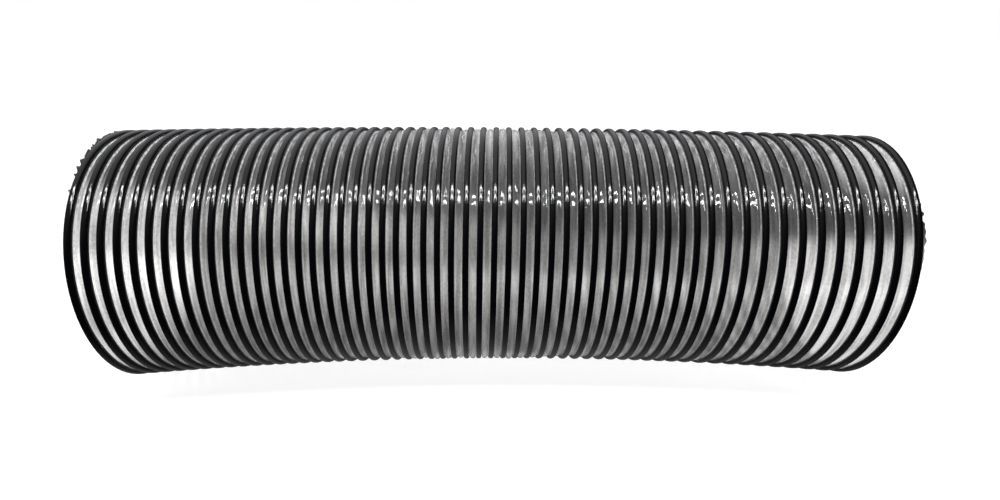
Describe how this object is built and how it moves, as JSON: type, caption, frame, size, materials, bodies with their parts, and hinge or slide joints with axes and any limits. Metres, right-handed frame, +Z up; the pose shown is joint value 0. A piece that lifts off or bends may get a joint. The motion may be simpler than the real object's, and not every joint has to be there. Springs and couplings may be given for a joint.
{
  "type": "recreational vehicle drain hose",
  "caption": "Clear flexible drain hose with a black helical cord, pushed together like an accordion; it stretches along its length and clamps over a fitting at either end.",
  "frame": {"origin": "bottom centre of the hose, on the surface it lies on", "axes": "+X along the hose, its ends bent slightly towards -Y; +Z up"},
  "size_m": [0.2568, 0.0902, 0.0816],
  "materials": {
    "cord_vinyl": "gloss",
    "clear_film": "hazy clear",
    "spring_wire": "cut wire"
  },
  "bodies": {
    "turn_01": {"cord_turn_01": "cord_vinyl", "wire_core_left": "spring_wire"},
    "turn_02": {"cord_turn_02": "cord_vinyl"},
    "turn_03": {"cord_turn_03": "cord_vinyl"},
    "turn_04": {"cord_turn_04": "cord_vinyl"},
    "turn_05": {"cord_turn_05": "cord_vinyl"},
    "turn_06": {"cord_turn_06": "cord_vinyl"},
    "turn_07": {"cord_turn_07": "cord_vinyl"},
    "turn_08": {"cord_turn_08": "cord_vinyl"},
    "turn_09": {"cord_turn_09": "cord_vinyl"},
    "turn_10": {"cord_turn_10": "cord_vinyl"},
    "turn_11": {"cord_turn_11": "cord_vinyl"},
    "turn_12": {"cord_turn_12": "cord_vinyl"},
    "turn_13": {"cord_turn_13": "cord_vinyl"},
    "turn_14": {"cord_turn_14": "cord_vinyl"},
    "turn_15": {"cord_turn_15": "cord_vinyl"},
    "turn_16": {"cord_turn_16": "cord_vinyl"},
    "turn_17": {"cord_turn_17": "cord_vinyl"},
    "turn_18": {"cord_turn_18": "cord_vinyl"},
    "turn_19": {"cord_turn_19": "cord_vinyl"},
    "turn_20": {"cord_turn_20": "cord_vinyl"},
    "turn_21": {"cord_turn_21": "cord_vinyl"},
    "turn_22": {"cord_turn_22": "cord_vinyl"},
    "turn_23": {"cord_turn_23": "cord_vinyl"},
    "turn_24": {"cord_turn_24": "cord_vinyl"},
    "turn_25": {"cord_turn_25": "cord_vinyl"},
    "turn_26": {"cord_turn_26": "cord_vinyl"},
    "turn_27": {"cord_turn_27": "cord_vinyl"},
    "turn_28": {"cord_turn_28": "cord_vinyl", "film_sleeve": "clear_film"},
    "turn_29": {"cord_turn_29": "cord_vinyl"},
    "turn_30": {"cord_turn_30": "cord_vinyl"},
    "turn_31": {"cord_turn_31": "cord_vinyl"},
    "turn_32": {"cord_turn_32": "cord_vinyl"},
    "turn_33": {"cord_turn_33": "cord_vinyl"},
    "turn_34": {"cord_turn_34": "cord_vinyl"},
    "turn_35": {"cord_turn_35": "cord_vinyl"},
    "turn_36": {"cord_turn_36": "cord_vinyl"},
    "turn_37": {"cord_turn_37": "cord_vinyl"},
    "turn_38": {"cord_turn_38": "cord_vinyl"},
    "turn_39": {"cord_turn_39": "cord_vinyl"},
    "turn_40": {"cord_turn_40": "cord_vinyl"},
    "turn_41": {"cord_turn_41": "cord_vinyl"},
    "turn_42": {"cord_turn_42": "cord_vinyl"},
    "turn_43": {"cord_turn_43": "cord_vinyl"},
    "turn_44": {"cord_turn_44": "cord_vinyl"},
    "turn_45": {"cord_turn_45": "cord_vinyl"},
    "turn_46": {"cord_turn_46": "cord_vinyl"},
    "turn_47": {"cord_turn_47": "cord_vinyl"},
    "turn_48": {"cord_turn_48": "cord_vinyl"},
    "turn_49": {"cord_turn_49": "cord_vinyl"},
    "turn_50": {"cord_turn_50": "cord_vinyl"},
    "turn_51": {"cord_turn_51": "cord_vinyl"},
    "turn_52": {"cord_turn_52": "cord_vinyl"},
    "turn_53": {"cord_turn_53": "cord_vinyl"},
    "turn_54": {"cord_turn_54": "cord_vinyl"},
    "turn_55": {"cord_turn_55": "cord_vinyl"},
    "turn_56": {"cord_turn_56": "cord_vinyl", "wire_core_right": "spring_wire"}
  },
  "joints": [
    {"name": "stretch", "type": "slide", "parent": "turn_28", "child": "turn_29", "axis": [1, 0.009, 0], "range_m": [-0.0014, 0.02], "deforming": ["film_sleeve"]},
    {"name": "stretch_30", "type": "slide", "parent": "turn_29", "child": "turn_30", "axis": [1, 0.0044, 0], "range_m": [-0.0014, 0.02]},
    {"name": "stretch_31", "type": "slide", "parent": "turn_30", "child": "turn_31", "axis": [1, -0.0002, 0], "range_m": [-0.0014, 0.02]},
    {"name": "stretch_32", "type": "slide", "parent": "turn_31", "child": "turn_32", "axis": [1, -0.0048, 0], "range_m": [-0.0014, 0.02]},
    {"name": "stretch_33", "type": "slide", "parent": "turn_32", "child": "turn_33", "axis": [1, -0.0095, 0], "range_m": [-0.0014, 0.02]},
    {"name": "stretch_34", "type": "slide", "parent": "turn_33", "child": "turn_34", "axis": [0.9999, -0.0141, 0], "range_m": [-0.0014, 0.02]},
    {"name": "stretch_35", "type": "slide", "parent": "turn_34", "child": "turn_35", "axis": [0.9998, -0.0187, 0], "range_m": [-0.0014, 0.02]},
    {"name": "stretch_36", "type": "slide", "parent": "turn_35", "child": "turn_36", "axis": [0.9997, -0.0233, 0], "range_m": [-0.0014, 0.02]},
    {"name": "stretch_37", "type": "slide", "parent": "turn_36", "child": "turn_37", "axis": [0.9996, -0.0279, 0], "range_m": [-0.0014, 0.02]},
    {"name": "stretch_38", "type": "slide", "parent": "turn_37", "child": "turn_38", "axis": [0.9995, -0.0325, 0], "range_m": [-0.0014, 0.02]},
    {"name": "stretch_39", "type": "slide", "parent": "turn_38", "child": "turn_39", "axis": [0.9993, -0.0371, 0], "range_m": [-0.0014, 0.02]},
    {"name": "stretch_40", "type": "slide", "parent": "turn_39", "child": "turn_40", "axis": [0.9991, -0.0417, 0], "range_m": [-0.0014, 0.02]},
    {"name": "stretch_41", "type": "slide", "parent": "turn_40", "child": "turn_41", "axis": [0.9989, -0.0463, 0], "range_m": [-0.0014, 0.02]},
    {"name": "stretch_42", "type": "slide", "parent": "turn_41", "child": "turn_42", "axis": [0.9987, -0.0509, 0], "range_m": [-0.0014, 0.02]},
    {"name": "stretch_43", "type": "slide", "parent": "turn_42", "child": "turn_43", "axis": [0.9985, -0.0555, 0], "range_m": [-0.0014, 0.02]},
    {"name": "stretch_44", "type": "slide", "parent": "turn_43", "child": "turn_44", "axis": [0.9982, -0.0601, 0], "range_m": [-0.0014, 0.02]},
    {"name": "stretch_45", "type": "slide", "parent": "turn_44", "child": "turn_45", "axis": [0.9979, -0.0647, 0], "range_m": [-0.0014, 0.02]},
    {"name": "stretch_46", "type": "slide", "parent": "turn_45", "child": "turn_46", "axis": [0.9976, -0.0693, 0], "range_m": [-0.0014, 0.02]},
    {"name": "stretch_47", "type": "slide", "parent": "turn_46", "child": "turn_47", "axis": [0.9972, -0.075, 0], "range_m": [-0.0014, 0.02]},
    {"name": "stretch_48", "type": "slide", "parent": "turn_47", "child": "turn_48", "axis": [0.9967, -0.0807, 0], "range_m": [-0.0014, 0.02]},
    {"name": "stretch_49", "type": "slide", "parent": "turn_48", "child": "turn_49", "axis": [0.9963, -0.0864, 0], "range_m": [-0.0014, 0.02]},
    {"name": "stretch_50", "type": "slide", "parent": "turn_49", "child": "turn_50", "axis": [0.9958, -0.0921, 0], "range_m": [-0.0014, 0.02]},
    {"name": "stretch_51", "type": "slide", "parent": "turn_50", "child": "turn_51", "axis": [0.9952, -0.0978, 0], "range_m": [-0.0014, 0.02]},
    {"name": "stretch_52", "type": "slide", "parent": "turn_51", "child": "turn_52", "axis": [0.9946, -0.1035, 0], "range_m": [-0.0014, 0.02]},
    {"name": "stretch_53", "type": "slide", "parent": "turn_52", "child": "turn_53", "axis": [0.994, -0.1091, 0], "range_m": [-0.0014, 0.02]},
    {"name": "stretch_54", "type": "slide", "parent": "turn_53", "child": "turn_54", "axis": [0.9934, -0.1148, 0], "range_m": [-0.0014, 0.02]},
    {"name": "stretch_55", "type": "slide", "parent": "turn_54", "child": "turn_55", "axis": [0.9927, -0.1205, 0], "range_m": [-0.0014, 0.02]},
    {"name": "stretch_56", "type": "slide", "parent": "turn_55", "child": "turn_56", "axis": [0.992, -0.1262, 0], "range_m": [-0.0014, 0.02]},
    {"name": "stretch_27", "type": "slide", "parent": "turn_28", "child": "turn_27", "axis": [-0.9999, -0.0136, 0], "range_m": [-0.0014, 0.02]},
    {"name": "stretch_26", "type": "slide", "parent": "turn_27", "child": "turn_26", "axis": [-0.9998, -0.0182, 0], "range_m": [-0.0014, 0.02]},
    {"name": "stretch_25", "type": "slide", "parent": "turn_26", "child": "turn_25", "axis": [-0.9997, -0.0225, 0], "range_m": [-0.0014, 0.02]},
    {"name": "stretch_24", "type": "slide", "parent": "turn_25", "child": "turn_24", "axis": [-0.9996, -0.0268, 0], "range_m": [-0.0014, 0.02]},
    {"name": "stretch_23", "type": "slide", "parent": "turn_24", "child": "turn_23", "axis": [-0.9995, -0.0311, 0], "range_m": [-0.0014, 0.02]},
    {"name": "stretch_22", "type": "slide", "parent": "turn_23", "child": "turn_22", "axis": [-0.9994, -0.0355, 0], "range_m": [-0.0014, 0.02]},
    {"name": "stretch_21", "type": "slide", "parent": "turn_22", "child": "turn_21", "axis": [-0.9992, -0.0398, 0], "range_m": [-0.0014, 0.02]},
    {"name": "stretch_20", "type": "slide", "parent": "turn_21", "child": "turn_20", "axis": [-0.999, -0.0441, 0], "range_m": [-0.0014, 0.02]},
    {"name": "stretch_19", "type": "slide", "parent": "turn_20", "child": "turn_19", "axis": [-0.9988, -0.0484, 0], "range_m": [-0.0014, 0.02]},
    {"name": "stretch_18", "type": "slide", "parent": "turn_19", "child": "turn_18", "axis": [-0.9986, -0.0527, 0], "range_m": [-0.0014, 0.02]},
    {"name": "stretch_17", "type": "slide", "parent": "turn_18", "child": "turn_17", "axis": [-0.9984, -0.0571, 0], "range_m": [-0.0014, 0.02]},
    {"name": "stretch_16", "type": "slide", "parent": "turn_17", "child": "turn_16", "axis": [-0.9981, -0.0614, 0], "range_m": [-0.0014, 0.02]},
    {"name": "stretch_15", "type": "slide", "parent": "turn_16", "child": "turn_15", "axis": [-0.9978, -0.0657, 0], "range_m": [-0.0014, 0.02]},
    {"name": "stretch_14", "type": "slide", "parent": "turn_15", "child": "turn_14", "axis": [-0.9975, -0.07, 0], "range_m": [-0.0014, 0.02]},
    {"name": "stretch_13", "type": "slide", "parent": "turn_14", "child": "turn_13", "axis": [-0.9972, -0.0743, 0], "range_m": [-0.0014, 0.02]},
    {"name": "stretch_12", "type": "slide", "parent": "turn_13", "child": "turn_12", "axis": [-0.9969, -0.0786, 0], "range_m": [-0.0014, 0.02]},
    {"name": "stretch_11", "type": "slide", "parent": "turn_12", "child": "turn_11", "axis": [-0.9966, -0.0829, 0], "range_m": [-0.0014, 0.02]},
    {"name": "stretch_10", "type": "slide", "parent": "turn_11", "child": "turn_10", "axis": [-0.9962, -0.0873, 0], "range_m": [-0.0014, 0.02]},
    {"name": "stretch_09", "type": "slide", "parent": "turn_10", "child": "turn_09", "axis": [-0.9958, -0.0917, 0], "range_m": [-0.0014, 0.02]},
    {"name": "stretch_08", "type": "slide", "parent": "turn_09", "child": "turn_08", "axis": [-0.9954, -0.0962, 0], "range_m": [-0.0014, 0.02]},
    {"name": "stretch_07", "type": "slide", "parent": "turn_08", "child": "turn_07", "axis": [-0.9949, -0.1007, 0], "range_m": [-0.0014, 0.02]},
    {"name": "stretch_06", "type": "slide", "parent": "turn_07", "child": "turn_06", "axis": [-0.9945, -0.1051, 0], "range_m": [-0.0014, 0.02]},
    {"name": "stretch_05", "type": "slide", "parent": "turn_06", "child": "turn_05", "axis": [-0.994, -0.1096, 0], "range_m": [-0.0014, 0.02]},
    {"name": "stretch_04", "type": "slide", "parent": "turn_05", "child": "turn_04", "axis": [-0.9935, -0.114, 0], "range_m": [-0.0014, 0.02]},
    {"name": "stretch_03", "type": "slide", "parent": "turn_04", "child": "turn_03", "axis": [-0.993, -0.1185, 0], "range_m": [-0.0014, 0.02]},
    {"name": "stretch_02", "type": "slide", "parent": "turn_03", "child": "turn_02", "axis": [-0.9924, -0.1229, 0], "range_m": [-0.0014, 0.02]},
    {"name": "stretch_01", "type": "slide", "parent": "turn_02", "child": "turn_01", "axis": [-0.9919, -0.1274, 0], "range_m": [-0.0014, 0.02]}
  ],
  "couplings": [
    {"joint": "stretch_30", "follows": "stretch", "ratio": 1},
    {"joint": "stretch_31", "follows": "stretch", "ratio": 1},
    {"joint": "stretch_32", "follows": "stretch", "ratio": 1},
    {"joint": "stretch_33", "follows": "stretch", "ratio": 1},
    {"joint": "stretch_34", "follows": "stretch", "ratio": 1},
    {"joint": "stretch_35", "follows": "stretch", "ratio": 1},
    {"joint": "stretch_36", "follows": "stretch", "ratio": 1},
    {"joint": "stretch_37", "follows": "stretch", "ratio": 1},
    {"joint": "stretch_38", "follows": "stretch", "ratio": 1},
    {"joint": "stretch_39", "follows": "stretch", "ratio": 1},
    {"joint": "stretch_40", "follows": "stretch", "ratio": 1},
    {"joint": "stretch_41", "follows": "stretch", "ratio": 1},
    {"joint": "stretch_42", "follows": "stretch", "ratio": 1},
    {"joint": "stretch_43", "follows": "stretch", "ratio": 1},
    {"joint": "stretch_44", "follows": "stretch", "ratio": 1},
    {"joint": "stretch_45", "follows": "stretch", "ratio": 1},
    {"joint": "stretch_46", "follows": "stretch", "ratio": 1},
    {"joint": "stretch_47", "follows": "stretch", "ratio": 1},
    {"joint": "stretch_48", "follows": "stretch", "ratio": 1},
    {"joint": "stretch_49", "follows": "stretch", "ratio": 1},
    {"joint": "stretch_50", "follows": "stretch", "ratio": 1},
    {"joint": "stretch_51", "follows": "stretch", "ratio": 1},
    {"joint": "stretch_52", "follows": "stretch", "ratio": 1},
    {"joint": "stretch_53", "follows": "stretch", "ratio": 1},
    {"joint": "stretch_54", "follows": "stretch", "ratio": 1},
    {"joint": "stretch_55", "follows": "stretch", "ratio": 1},
    {"joint": "stretch_56", "follows": "stretch", "ratio": 1},
    {"joint": "stretch_27", "follows": "stretch", "ratio": 1},
    {"joint": "stretch_26", "follows": "stretch", "ratio": 1},
    {"joint": "stretch_25", "follows": "stretch", "ratio": 1},
    {"joint": "stretch_24", "follows": "stretch", "ratio": 1},
    {"joint": "stretch_23", "follows": "stretch", "ratio": 1},
    {"joint": "stretch_22", "follows": "stretch", "ratio": 1},
    {"joint": "stretch_21", "follows": "stretch", "ratio": 1},
    {"joint": "stretch_20", "follows": "stretch", "ratio": 1},
    {"joint": "stretch_19", "follows": "stretch", "ratio": 1},
    {"joint": "stretch_18", "follows": "stretch", "ratio": 1},
    {"joint": "stretch_17", "follows": "stretch", "ratio": 1},
    {"joint": "stretch_16", "follows": "stretch", "ratio": 1},
    {"joint": "stretch_15", "follows": "stretch", "ratio": 1},
    {"joint": "stretch_14", "follows": "stretch", "ratio": 1},
    {"joint": "stretch_13", "follows": "stretch", "ratio": 1},
    {"joint": "stretch_12", "follows": "stretch", "ratio": 1},
    {"joint": "stretch_11", "follows": "stretch", "ratio": 1},
    {"joint": "stretch_10", "follows": "stretch", "ratio": 1},
    {"joint": "stretch_09", "follows": "stretch", "ratio": 1},
    {"joint": "stretch_08", "follows": "stretch", "ratio": 1},
    {"joint": "stretch_07", "follows": "stretch", "ratio": 1},
    {"joint": "stretch_06", "follows": "stretch", "ratio": 1},
    {"joint": "stretch_05", "follows": "stretch", "ratio": 1},
    {"joint": "stretch_04", "follows": "stretch", "ratio": 1},
    {"joint": "stretch_03", "follows": "stretch", "ratio": 1},
    {"joint": "stretch_02", "follows": "stretch", "ratio": 1},
    {"joint": "stretch_01", "follows": "stretch", "ratio": 1}
  ]
}
